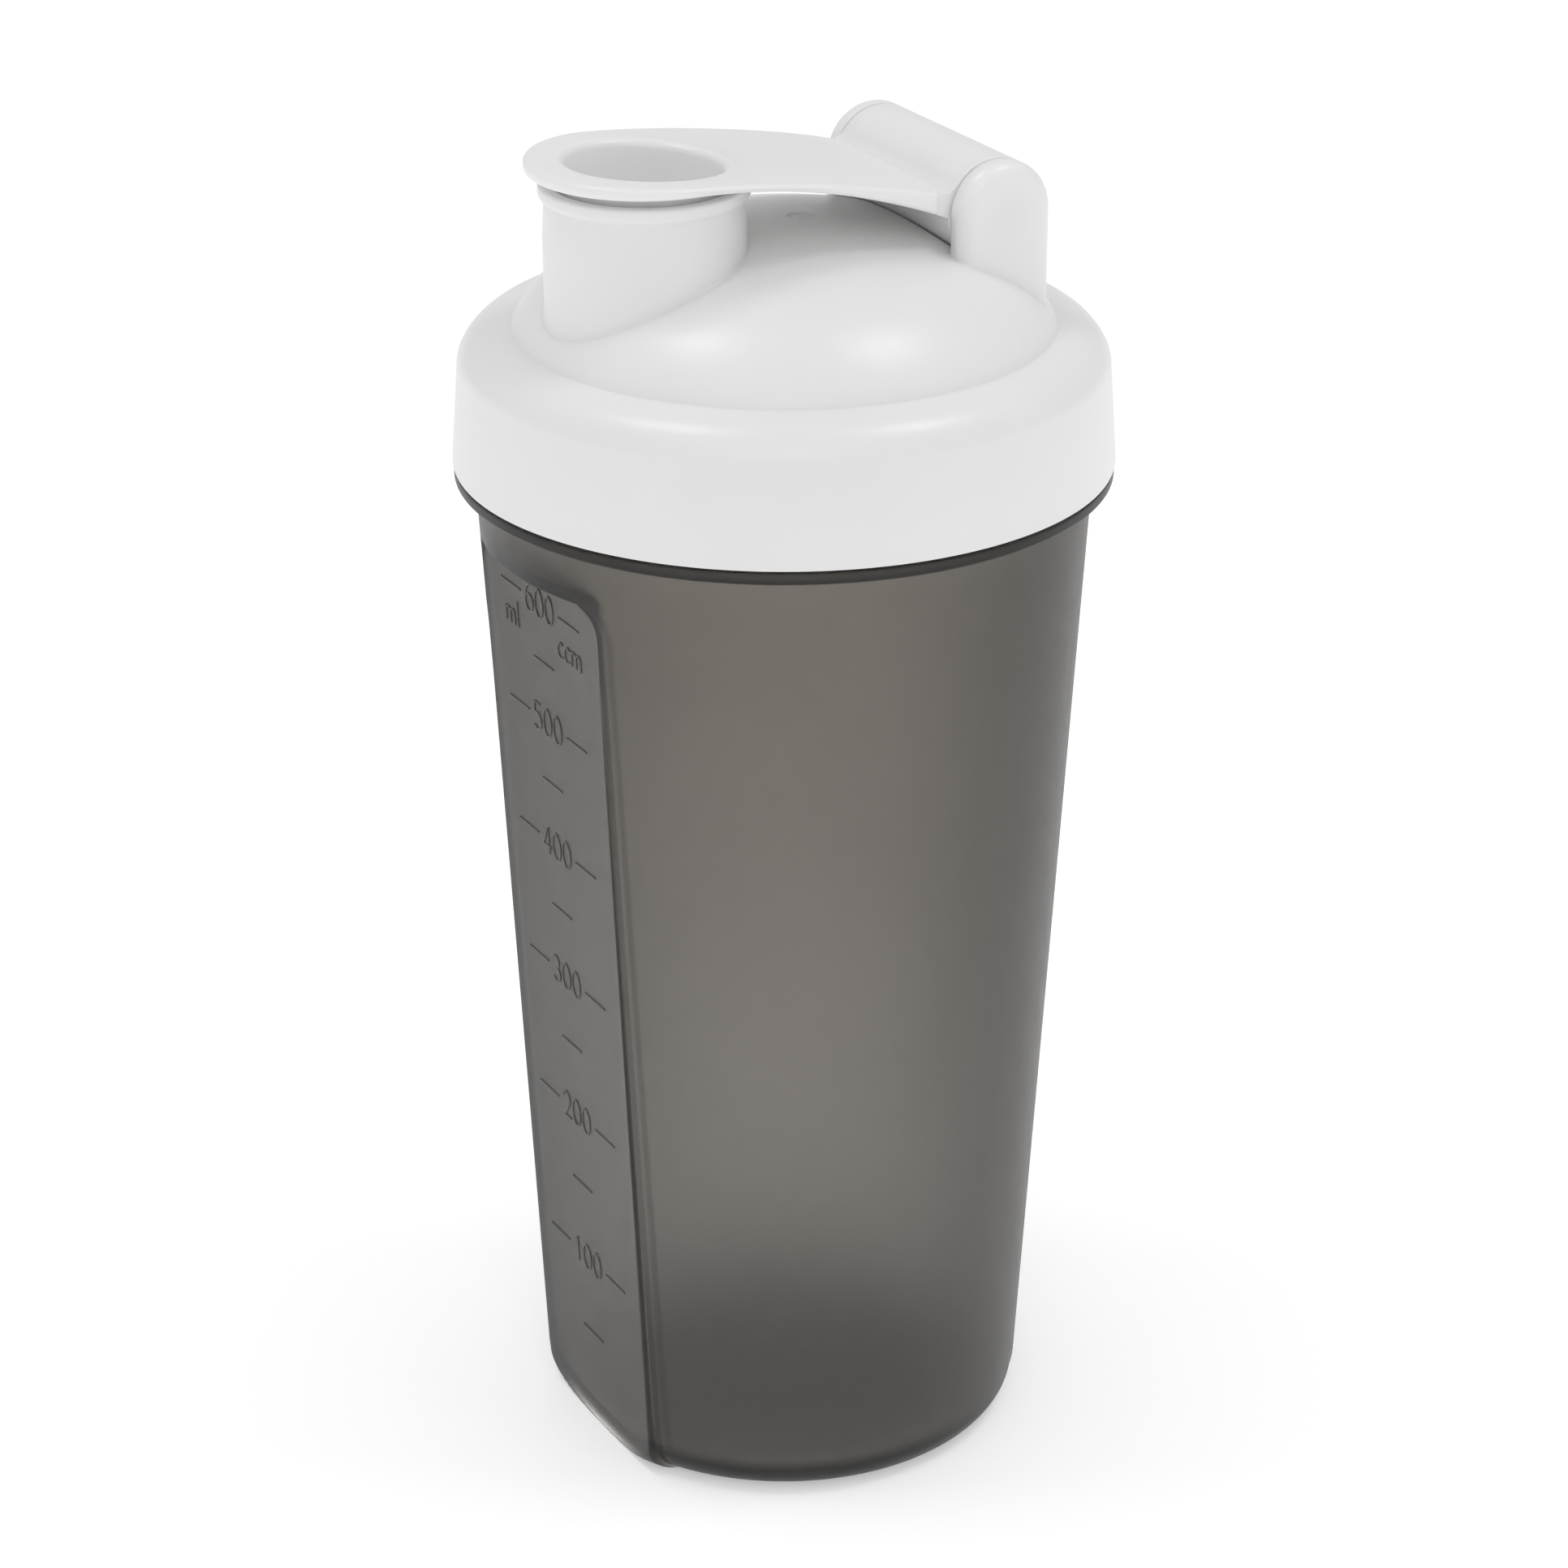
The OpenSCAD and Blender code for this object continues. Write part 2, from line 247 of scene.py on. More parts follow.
def moulded_plastic(name, dark, light, rough, grain=2600, grain_depth=0.00002, grain_strength=0.35):
    """Spark-textured moulding: fine grain, faint flow marks and a slightly uneven gloss."""
    material, nodes, links, shader = new_material(name)
    coords = nodes.new("ShaderNodeTexCoord").outputs["Object"]
    flow = noise(nodes, links, coords, 45, 3.0)
    links.new(mix_colour(nodes, links, ramp(nodes, links, flow, 0.3, 0.7, 0, 1), dark, light),
              shader.inputs["Base Color"])
    gloss = noise(nodes, links, coords, 400, 4.0)
    links.new(ramp(nodes, links, gloss, 0.3, 0.7, rough - 0.02, rough + 0.03),
              shader.inputs["Roughness"])
    height = noise(nodes, links, coords, grain, 2.0, 0.6)
    bump(nodes, links, shader, height, grain_strength, grain_depth)
    return material, nodes, links, shader


def white_plastic():
    """White moulding with a little light spread under its surface.

    Renders showed flecks where the roughness went down to 0.26 and none where it stayed above 0.29.
    """
    material, _, _, shader = moulded_plastic(
        "white_plastic", (0.835, 0.835, 0.831), (0.853, 0.853, 0.85), 0.315, grain_strength=0.07)
    shader.inputs["Subsurface Weight"].default_value = 0.2
    shader.inputs["Subsurface Radius"].default_value = (1.0, 1.0, 1.0)
    shader.inputs["Subsurface Scale"].default_value = 0.004
    return material


# heights in metres between which the painted light on the base fades, a lighter tint that lifts the
# base's shade near the floor, and distances in millimetres outside the panel's outline over which the
# painted shade line along the step comes in and goes out
PAINTED_BASE_LIFT = (0.03, 0.11)
SHADE_LINE_START, SHADE_LINE_END = (0.05, 0.25), (0.9, 1.2)


def smoke_plastic():
    """Frosted smoky plastic: rough transmission, darker where the wall is thick or seen edge-on.

    The thick base is painted a lighter tint, painted light that lifts its shade near the floor so that
    it doesn't go black, and a painted shade line follows the step around the flat panel.
    """
    material, nodes, links, shader = moulded_plastic(
        "smoke_plastic", (0.80, 0.77, 0.73), (0.84, 0.81, 0.77), 0.40, grain_strength=0.2)
    colour = shader.inputs["Base Color"].links[0].from_socket
    coords = nodes["Texture Coordinate"].outputs["Object"]
    split = nodes.new("ShaderNodeSeparateXYZ")
    links.new(coords, split.inputs[0])
    # painted light: the tint turns lighter towards the bottom to lift the base's shade
    base = ramp(nodes, links, split.outputs["Z"], PAINTED_BASE_LIFT[0], PAINTED_BASE_LIFT[1], 1, 0)
    colour = mix_colour(nodes, links, base, colour, (0.99, 0.975, 0.96))
    # painted shade: a dark line along the step round the panel, placed by the distance from its outline
    ledge = nodes.new("ShaderNodeAttribute")
    ledge.attribute_name = "panel_edge"
    rise = ramp(nodes, links, ledge.outputs["Fac"], SHADE_LINE_START[0], SHADE_LINE_START[1], 0, 1)
    fall = ramp(nodes, links, ledge.outputs["Fac"], SHADE_LINE_END[0], SHADE_LINE_END[1], 1, 0)
    line = nodes.new("ShaderNodeMath")
    line.operation = "MULTIPLY"
    links.new(rise, line.inputs[0])
    links.new(fall, line.inputs[1])
    colour = mix_colour(nodes, links, line.outputs[0], colour, (0.42, 0.40, 0.38))
    links.new(colour, shader.inputs["Base Color"])
    shader.inputs["Transmission Weight"].default_value = 1.0
    shader.inputs["IOR"].default_value = 1.45
    volume = nodes.new("ShaderNodeVolumeAbsorption")
    volume.inputs["Color"].default_value = (0.06, 0.03, 0.0, 1)
    volume.inputs["Density"].default_value = 455
    links.new(volume.outputs["Volume"], nodes["Material Output"].inputs["Volume"])
    return material


WHITE = white_plastic()
SMOKE = smoke_plastic()
MARK = moulded_plastic("scale_mark", (0.07, 0.068, 0.066), (0.08, 0.077, 0.075), 0.4)[0]
SIEVE = moulded_plastic("strainer_plastic", (0.68, 0.68, 0.67), (0.72, 0.72, 0.71), 0.4)[0]
RUBBER = moulded_plastic("silicone", (0.66, 0.66, 0.65), (0.74, 0.74, 0.73), 0.6, grain=1500)[0]


# ---------------------------------------------------------------- cup

# Width of the step from wall to panel, the roundings beside it, and the height up to which the
# panel's edges stand proud.
STEP_W, FACE_ROUND, SIDE_ROUND, STEP_ROUND, PROUD_TOP = 0.56, 0.4, 0.7, 0.25, 130


def wall_r(z):
    """Outer radius of the round wall at a height."""
    return BASE_R + WALL_TAPER * z


def soft_min(a, b, k):
    """The smaller of two lengths, with the corner between them rounded by k."""
    h = max(k - abs(a - b), 0.0) / k
    return min(a, b) - h * h * k / 4


def panel_w(z):
    """Half of the panel's width at a height."""
    return PANEL_FOOT_W + (PANEL_HEAD_W - PANEL_FOOT_W) * min(max(z / PANEL_TOP, 0), 1)


def outline_distance(x, z, margin=0.0):
    """Signed distance from the panel's round-cornered outline, negative inside."""
    r = PANEL_CORNER_R
    qx = abs(x) - (panel_w(z) + margin - r)
    qz = z - (PANEL_TOP + margin - r)
    return hypot(max(qx, 0), max(qz, 0)) + min(max(qx, qz), 0) - r


def wall_point(r, a, z, inset):
    """Point of the cup's wall in direction a (radians from the front), with the panel let in.

    Low down the panel's edges stand proud of the round wall; higher up it is sunk into the wall.
    """
    c, s = cos(a), abs(sin(a))
    if c > 0.3 and z < PANEL_TOP + 3:
        plane = (PANEL_D + PANEL_TAPER * z - inset) / c
        edge = outline_distance(plane * s, z, inset)
        t = min(max((edge + STEP_W / 2) / STEP_W, 0.0), 1.0)
        limit = r if inset else r + PANEL_PROUD
        flat = soft_min(plane, limit, FACE_ROUND)
        if not inset and s > 0.1:
            side = panel_w(z) / s
            slab = soft_min(flat, side, SIDE_ROUND) if z < PROUD_TOP else r
            r = -soft_min(-r, -slab, STEP_ROUND)
            if z < PROUD_TOP:
                flat = soft_min(flat, side, SIDE_ROUND)
        t = t * t * (3 - 2 * t)
        r = flat + (r - flat) * t
    return (r * sin(a), -r * c, z)


def cup_angles(z):
    """Angles round the cup from the front, close together along the panel's edges."""
    shift = degrees(atan(panel_w(z) / (PANEL_D + PANEL_TAPER * min(z, PANEL_TOP)))) - 26
    half = [i * 2.2 for i in range(10)] + [22 + i * 0.15 for i in range(60)]
    half += [31 + i * 2.4833 for i in range(60)]
    out = []
    for a in half:
        fade = a / 26 if a < 26 else 1 - max(a - 31, 0) / 59
        out.append(a + shift * max(fade, 0))
    return [-a for a in reversed(out[1:])] + out + [180.0]


def cup_rings(profile, inset):
    """Rings of the cup's wall through a profile [(r, z)]."""
    return [[wall_point(r, radians(a), z, inset) for a in cup_angles(z)] for r, z in profile]


def wall_rows(z0, z1, step):
    """Heights from z0 up to just below z1."""
    n = max(1, round((z1 - z0) / step))
    return [z0 + (z1 - z0) * i / n for i in range(n)]


def make_cup():
    """Cup with its foot, flange, neck and hollow in one skin."""
    edge = BASE_EDGE_R
    heights = wall_rows(6, 136, 4) + wall_rows(136, 141.4, 0.3) + wall_rows(141.4, 143.4, 0.08)
    outside = [(0.0, 1.0), (10, 1.0), (FOOT_RECESS_R - 1.2, 1.0), (FOOT_RECESS_R - 0.6, 0.8),
               (FOOT_RECESS_R - 0.2, 0.25), (FOOT_RECESS_R + 0.3, 0.0)]
    outside += arc(BASE_R - edge, edge, edge, -90, -3, 14)
    outside += [(wall_r(z), z) for z in heights + [143.4, 145, 148, FLANGE_LOW - 0.3]]
    outside += arc(wall_r(FLANGE_LOW) + 0.3, FLANGE_LOW - 0.3, 0.3, 150, 90, 3)
    outside += [(FLANGE_R - 0.8, FLANGE_LOW)] + arc(FLANGE_R - 0.4, FLANGE_LOW + 0.4, 0.4, -80, 0, 6)
    outside += arc(FLANGE_R - 0.25, FLANGE_TOP - 0.25, 0.25, 0, 90, 4)
    outside += [(NECK_R + 0.5, FLANGE_TOP), (NECK_R + 0.1, FLANGE_TOP + 0.2), (NECK_R, 153.3),
                (NECK_R, RIM_Z - 0.7)]
    rim = arc(NECK_R - 0.5, RIM_Z - 0.5, 0.5, 0, 90, 5)
    rim += arc(MOUTH_R + 0.4, RIM_Z - 0.4, 0.4, 90, 180, 5)
    inside = [(MOUTH_R, SEAT_Z + 0.2), (MOUTH_R - 0.2, SEAT_Z), (SEAT_R + 0.2, SEAT_Z),
              (SEAT_R, SEAT_Z - 0.2), (SEAT_R, 159), (MOUTH_R - 0.3, 154), (wall_r(150) - WALL, 150)]
    inner_heights = [z for z in heights if z > 8] + [143.4, 143.7, 144, 144.4, 145.2, 146.6]
    inside += [(wall_r(z) - WALL, z) for z in reversed(inner_heights)]
    inside += list(reversed(arc(BASE_R - edge, FLOOR_Z + edge - WALL, edge - WALL, -90, -3, 10)))
    inside += [(20, FLOOR_Z), (0.0, FLOOR_Z)]
    rings = cup_rings(outside + rim, 0) + cup_rings(inside, WALL)
    verts, faces = loft(rings)
    cup = mesh("cup_body", verts, faces, SMOKE, "cup", "smoke_plastic", ["cup"], 40)
    #     distance from the panel's outline in millimetres, for the painted shade line round it
    attribute = cup.data.attributes.new("panel_edge", "FLOAT", "POINT")
    for i, v in enumerate(cup.data.vertices):
        x, y, z = (c / MM for c in v.co)
        front = y < 0 and z < PANEL_TOP + 5 and hypot(x, y) > wall_r(z) - 5
        attribute.data[i].value = outline_distance(x, z) if front else 20.0
    return cup


# ---------------------------------------------------------------- lid

SHOULDER_TOP = 172.75
CREASE_R = 0.25
GATE_Y = 2.75


def shoulder_profile():
    """Outside of the lid from the skirt's lower edge over the shoulder into the dome's edge."""
    side = [(SKIRT_R - 0.3, SKIRT_Z), (SKIRT_R - 0.08, SKIRT_Z + 0.1), (SKIRT_R, SKIRT_Z + 0.35)]
    (x0, z0), (x1, z1) = side[-1], (46.4, 167.2 - 0.1)
    straight = [(x0 + (x1 - x0) * t, z0 + (z1 - z0) * t) for t in (0.02, 0.1, 0.3, 0.5, 0.7, 0.9, 0.98)]
    return (side + straight + [(x1, z1)] + arc(42.4, 167.2, 4, 2, 24, 8)
            + arc(40, 166.15, 6.6, 24, 90, 20)[1:] + crease())


def crease():
    """Small hollow fillet from the top of the shoulder up into the dome's flank."""
    lean = radians(20)
    z = SHOULDER_TOP + CREASE_R * (1 - sin(lean))
    return arc(flank_x(z, 0) + CREASE_R * cos(lean), SHOULDER_TOP + CREASE_R, CREASE_R, 270, 200, 8)


def dome_solid(inset, name):
    """Everything under the dome's surface, as a cutter."""
    r = flank_x(CEILING_Z, inset)
    side = dome_side(r, inset)
    profile = [(0, 160), (r, 160)] + side[:-1] + [(0, side[-1][1])]
    return mesh(name, *loft(revolve(profile)), WHITE, None, None)


def hinge_ring(x, r, n):
    """A ring of points round the hinge axis."""
    angles = [2 * pi * i / n for i in range(n)]
    return [(x, HINGE_Y + r * cos(a), HINGE_Z + r * sin(a)) for a in angles]


def hinge_cylinder(r, half, name):
    """A cylinder along the hinge axis, as a cutter."""
    rings = [hinge_ring(x, q, 128) for x, q in ((-half, 0), (-half, r), (half, r), (half, 0))]
    return mesh(name, *loft(rings), WHITE, None, None)


def make_lid_shell():
    """Skirt, shoulder and dome in one skin, with a hole for the spout and a trough for the barrel."""
    outer = shoulder_profile()
    outer += dome_side(outer[-1][0] - 0.02, 0, 50)[:-1] + [(0.15, DOME_TOP)]
    inner = list(reversed(dome_side(flank_x(CEILING_Z + 0.5, DOME_WALL), DOME_WALL)[:-1]))
    inner = [(0.15, DOME_TOP - DOME_WALL)] + inner
    inner += [(38.7, CEILING_Z), (43.2, CEILING_Z), (43.9, CEILING_Z - 0.5),
              (SKIRT_INNER_R, 167.4), (SKIRT_INNER_R, 160), (SKIRT_INNER_R, SKIRT_Z + 0.7),
              (SKIRT_INNER_R + 0.15, SKIRT_Z + 0.25), (SKIRT_INNER_R + 0.5, SKIRT_Z)]
    crown = [(0, DOME_TOP), (0, DOME_TOP - DOME_WALL)]
    ring = [p for p in outer if p[0] > 0.2] + crown + [p for p in inner if p[0] > 0.2]
    verts, faces = loft(revolve(ring), loop=True)
    shell = mesh("lid_shell", verts, faces, WHITE, None, None)
    floor = hinge_cylinder(BARREL_R + 1.9, LUG_IN + 1.6, "trough_floor")
    cut(floor, dome_solid(0.5, "under_dome"), "INTERSECT")
    cut(shell, floor, "UNION")
    cut(shell, hinge_cylinder(BARREL_R + 0.3, LUG_IN, "trough"))
    hole_r = SPOUT_R - 0.6
    hole = revolve([(0, 160), (hole_r, 160), (hole_r, 194), (0, 194)], 128, 0, SPOUT_Y)
    cut(shell, mesh("spout_hole", *loft(hole), WHITE, None, None))
    gate = [(0, 1), (2.45, 1), (2.2, -0.02), (2.05, -0.3), (0.5, -0.3), (0.35, -0.18), (0, -0.15)]
    gate = revolve([(r, DOME_TOP + z) for r, z in gate], 96, 0, GATE_Y)
    cut(shell, mesh("gate", *loft(gate), WHITE, None, None))
    finish_mesh(shell, WHITE, 32)
    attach(shell, "lid")
    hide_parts("lid_skirt", "lid_dome")
    return shell


# height above the dome and width of a small fillet, from its toe up the wall
FILLET = [(-0.12, 0.55), (0.0, 0.42), (0.04, 0.24), (0.13, 0.1), (0.28, 0.02), (0.5, 0.0)]


def spout_radius(z):
    """Outer radius of the spout, which widens a little downwards."""
    return SPOUT_R + (194 - z) * 0.0172


def make_spout():
    """Tube whose foot follows the dome, with a soft bevel under its lip."""
    lip = [(SPOUT_R, 193.6), (SPOUT_R + 0.05, 193.95)] + arc(SPOUT_R - 0.35, 195.1, 1.15, -62, 0, 8)
    lip += arc(LIP_R - 0.45, LIP_TOP - 0.45, 0.45, 0, 90, 6)
    lip += arc(BORE_R + 0.9, LIP_TOP - 0.9, 0.9, 90, 180, 8)
    segments = 192
    circle = [(cos(2 * pi * i / segments), sin(2 * pi * i / segments)) for i in range(segments)]

    def ring(radius, rise, inset=0.0):
        """A ring that lies on the dome, lifted by rise."""
        points = []
        for c, s in circle:
            z = dome_z(radius * c, SPOUT_Y + radius * s, inset) + rise
            points.append((radius * c, SPOUT_Y + radius * s, z))
        return points

    foot_r = SPOUT_R + 0.2
    rings = [ring(foot_r, 0, DOME_WALL), ring(foot_r, -0.6)]
    rings += [ring(foot_r * (1 + width / SPOUT_R), rise) for rise, width in FILLET]
    for t in (0.35, 0.7):
        row = []
        for (x, y, z), (c, s) in zip(ring(foot_r, 0), circle):
            out = (spout_radius(z) - foot_r) * t
            row.append((x + c * out, y + s * out, z + 0.5 + (193.2 - z - 0.5) * t))
        rings.append(row)
    rings += revolve(lip, segments, 0, SPOUT_Y)
    rings.append([(BORE_R * c, SPOUT_Y + BORE_R * s, 190) for c, s in circle])
    rings.append(ring(BORE_R, 0, DOME_WALL))
    verts, faces = loft(rings, loop=True)
    return mesh("spout_tube", verts, faces, WHITE, "lid", "white_plastic", ["spout"])


LUG_RIM = 2.3  # rounding of a lug's outer edge


def lug_corner(y, a):
    """A point of a lug's rounded corner and the way it faces, the corner's centre being at y."""
    x = LUG_OUT - LUG_RIM + LUG_RIM * cos(radians(a))
    return (x, y + LUG_RIM * sin(radians(a))), a


def lug_fillet(sign):
    """Small fillet where a lug stands on the dome, as one strip round its three outer sides."""
    front, back = HINGE_Y - LUG_R, HINGE_Y + LUG_R
    flat = back - front - 2 * LUG_RIM
    path = [((LUG_IN + 0.4, front), -90)]
    path += [lug_corner(front + LUG_RIM, a) for a in range(-90, 1, 10)]
    path += [((LUG_OUT, front + LUG_RIM + flat * i / 12), 0) for i in range(1, 12)]
    path += [lug_corner(back - LUG_RIM, a) for a in range(0, 91, 10)]
    path += [((LUG_IN + 0.4, back), 90)]
    rings = []
    for (x, y), a in path:
        c, s = cos(radians(a)), sin(radians(a))
        row = [(x + c * w, y + s * w, dome_z(x + c * w, y + s * w) + rise) for rise, w in FILLET]
        row += [(x - c * 0.3, y - s * 0.3, dome_z(x, y) + rise) for rise in (0.5, -0.6)]
        rings.append([(sign * px, py, pz) for px, py, pz in row])
    verts, faces = loft(rings)
    n = len(rings[0])
    return verts, faces + [tuple(range(n)), tuple(range(len(verts) - n, len(verts)))]


def lug_outline(inset):
    """Tombstone outline of a lug, (y, z), drawn in by inset; its feet are sunk in the dome later."""
    r = LUG_R - inset
    side = [HINGE_Z - d for d in (14, 10, 7, 5, 3, 1.5)]
    back = [(HINGE_Y + r, z) for z in side]
    front = [(HINGE_Y - r, z) for z in reversed(side)]
    return back + arc(HINGE_Y, HINGE_Z, r, 0, 180, 40) + front


def make_lug(sign):
    """A hinge lug on one side, with its axle socket and the fillet at its foot."""
    rim = LUG_RIM
    layers = [(LUG_IN, 0.6), (LUG_IN, 0.35), (LUG_IN + 0.1, 0.1), (LUG_IN + 0.35, 0.0)]
    layers += [(LUG_OUT - rim + rim * sin(radians(a)), rim * (1 - cos(radians(a))))
               for a in range(0, 91, 6)]
    layers += [(LUG_OUT, rim + 0.15), (LUG_OUT, rim + 0.6)]
    rings = []
    for x, inset in layers:
        ring = []
        for y, z in lug_outline(inset):
            foot = dome_z(x, y) - 0.8
            drop = (HINGE_Z - 1.5 - z) / 12.5
            if z < HINGE_Z - 1.5:
                z = HINGE_Z - 1.5 + (foot - HINGE_Z + 1.5) * drop
            ring.append((sign * x, y, z))
        rings.append(ring)
    verts, faces = loft(rings)
    n = len(rings[0])
    faces += [tuple(range(n)), tuple(range(len(verts) - n, len(verts)))]
    side = "right" if sign > 0 else "left"
    lug = mesh("hinge_lug_" + side, verts, faces, WHITE, None, None)
    x0, x1, r = sign * (LUG_IN - 1), sign * (BARREL_HALF + 2.6), AXLE_R + 0.05
    socket = [hinge_ring(x, q, 48) for x, q in ((x0, 0), (x0, r), (x1, r), (x1, 0))]
    cut(lug, mesh("lug_socket", *loft(socket), WHITE, None, None))
    cut(lug, mesh("lug_fillet", *lug_fillet(sign), WHITE, None, None), "UNION")
    finish_mesh(lug, WHITE, 32)
    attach(lug, "lid")
    return lug


# ---------------------------------------------------------------- flip cap

ARM_TOP_R, ARM_TOP_Y, ARM_TOP_Z = 208.0, -36.5, 199.8
ARM_UNDER_R, ARM_UNDER_Y, ARM_UNDER_Z = 95.0, -23.3, 198.0
ARM_END = 21.4
EDGE_R = 0.7
RECESS_R = 10.95
RECESS_EDGE = 1.3


def arm_top(x, y):
    """Top of the cap: one long arc that runs up onto the barrel through a soft hollow."""
    z = ARM_TOP_Z - (y - ARM_TOP_Y) ** 2 / (2 * ARM_TOP_R)
    dy = y - HINGE_Y
    if abs(dy) < BARREL_R and y > 12:
        barrel = HINGE_Z + sqrt(BARREL_R ** 2 - dy * dy) - 0.06
        z = -soft_min(-z, -barrel, 2.0)
    return z


def arm_under(x, y):
    """Underside of the cap: flat over the front of the head, then a falling arc."""
    return ARM_UNDER_Z - max(y - ARM_UNDER_Y, 0) ** 2 / (2 * ARM_UNDER_R)


def cap_outline(inset):
    """Plan of the cap as a closed loop, drawn in by inset."""
    w = ARM_HALF_W - inset
    r = HEAD_R - inset
    neck = BARREL_HALF - 0.02
    half = []
    # round head, from its front tip to where it meets the arm
    for i in range(41):
        a = radians(-90 + 92 * i / 40)
        half.append((r * cos(a), SPOUT_Y + r * sin(a)))
    for i in range(1, 31):
        t = i / 30
        y = half[40][1] * (1 - t) + 14.4 * t
        waist = 0.35 * sin(pi * t) ** 2
        half.append((half[40][0] * (1 - t) ** 2 + w * (1 - (1 - t) ** 2) - waist, y))
    for a in (20, 45, 70, 90):
        half.append((w - (w - neck) * (1 - cos(radians(a))),
                     14.4 + (1.0 - inset * 0.6) * sin(radians(a))))
    for y in (16.2, 17.2, 18.4, 19.6, 20.6, ARM_END):
        half.append((neck, y))
    return half + [(-x, y) for x, y in reversed(half[1:])]


def fill_surface(outer, hole, height, step=0.8):
    """Triangles between an outer loop and a hole, with grid points inside, lifted to height(x, y)."""
    pts = [Vector(p) for p in outer + hole]
    n, m = len(outer), len(hole)
    edges = [(i, (i + 1) % n) for i in range(n)] + [(n + i, n + (i + 1) % m) for i in range(m)]
    hole_c = (0.0, SPOUT_Y)
    hole_r = hypot(hole[0][0] - hole_c[0], hole[0][1] - hole_c[1])
    y = SPOUT_Y - HEAD_R
    row = 0
    while y < ARM_END:
        x = -ARM_HALF_W + (step / 2 if row % 2 else 0)
        while x < ARM_HALF_W:
            clear = hypot(x - hole_c[0], y - hole_c[1]) > hole_r + 0.45
            if clear and point_in(outer, x, y, 0.45):
                pts.append(Vector((x, y)))
            x += step
        y += step * 0.866
        row += 1
    verts2, _, faces2 = geometry.delaunay_2d_cdt(pts, edges, [], 0, 1e-5)[:3]
    verts = [(p.x, p.y, height(p.x, p.y)) for p in verts2]
    faces = []
    for f in faces2:
        cx = sum(verts2[i].x for i in f) / 3
        cy = sum(verts2[i].y for i in f) / 3
        if hypot(cx - hole_c[0], cy - hole_c[1]) > hole_r - 1e-4 and point_in(outer, cx, cy, 0):
            faces.append(tuple(f))
    return verts, faces


def point_in(loop, x, y, margin):
    """True if a point is inside the symmetric cap outline by a margin."""
    inside = False
    near = 1e9
    for (x0, y0), (x1, y1) in zip(loop, loop[1:] + loop[:1]):
        if (y0 > y) != (y1 > y) and x < x0 + (y - y0) * (x1 - x0) / (y1 - y0):
            inside = not inside
        if margin:
            near = min(near, hypot(x - x0, y - y0))
    return inside and near > margin


def circle_points(r, n=120):
    """Points (x, y) of a circle round the spout's axis."""
    return [(r * cos(2 * pi * i / n), SPOUT_Y + r * sin(2 * pi * i / n)) for i in range(n)]


def add(verts, faces, more):
    """Appends another mesh's vertices and faces."""
    base = len(verts)
    verts.extend(more[0])
    faces.extend(tuple(base + i for i in f) for f in more[1])


def make_flip_cap():
    """Head, arm and hollow plug in one skin."""
    verts, faces = [], []
    edge = cap_outline(EDGE_R)
    add(verts, faces, fill_surface(edge, circle_points(RECESS_R + RECESS_EDGE), arm_top))
    add(verts, faces, fill_surface(edge, circle_points(PLUG_R + 0.3), arm_under, 1.6))
    # side wall with rounded edges
    rings = []
    for a in range(90, -1, -15):
        inset = EDGE_R * (1 - cos(radians(a)))
        drop = EDGE_R * (1 - sin(radians(a)))
        rings.append([(x, y, arm_top(x, y) - drop) for x, y in cap_outline(inset)])
    for a in range(0, 91, 15):
        inset = EDGE_R * (1 - cos(radians(a)))
        rise = EDGE_R * (1 - sin(radians(a)))
        rings.append([(x, y, arm_under(x, y) + min(rise, (arm_top(x, y) - arm_under(x, y)) / 2))
                      for x, y in cap_outline(inset)])
    add(verts, faces, loft(rings))
    # finger recess: round edge, tapering wall, rounded floor
    rings = []
    for a in range(90, -1, -10):
        r = RECESS_R + RECESS_EDGE * (1 - cos(radians(a)))
        drop = RECESS_EDGE * (1 - sin(radians(a)))
        rings.append([(x, y, arm_top(x, y) - drop) for x, y in circle_points(r)])
    end_r, floor = PLUG_END_R - PLUG_WALL, PLUG_Z + 1.2
    profile = [(RECESS_R - 0.05, 196.3), (RECESS_R - 0.25, 193.5), (end_r, PLUG_Z + 2.7)]
    profile += arc(end_r - 1.5, floor + 1.5, 1.5, 0, -90, 8)[1:] + [(4, floor), (0, floor)]
    rings += [[(x, y, z) for x, y in circle_points(r)] for r, z in profile]
    add(verts, faces, loft(rings))
    # outside of the plug
    rings = [[(x, y, arm_under(x, y)) for x, y in circle_points(PLUG_R + 0.3)]]
    profile = [(PLUG_R, 196.2), (PLUG_R - 0.05, 195.9), (PLUG_END_R, PLUG_Z + 0.9)]
    profile += arc(PLUG_END_R - 0.8, PLUG_Z + 0.8, 0.8, 0, -90, 6)[1:] + [(5, PLUG_Z), (0, PLUG_Z)]
    rings += [[(x, y, z) for x, y in circle_points(r)] for r, z in profile]
    add(verts, faces, loft(rings))
    cap = mesh("cap_body", verts, faces, WHITE, None, None)
    cut(cap, make_barrel(), "UNION")
    finish_mesh(cap, WHITE, 50)
    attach(cap, "cap")
    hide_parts("flip_cap", "spout_plug")
    return cap


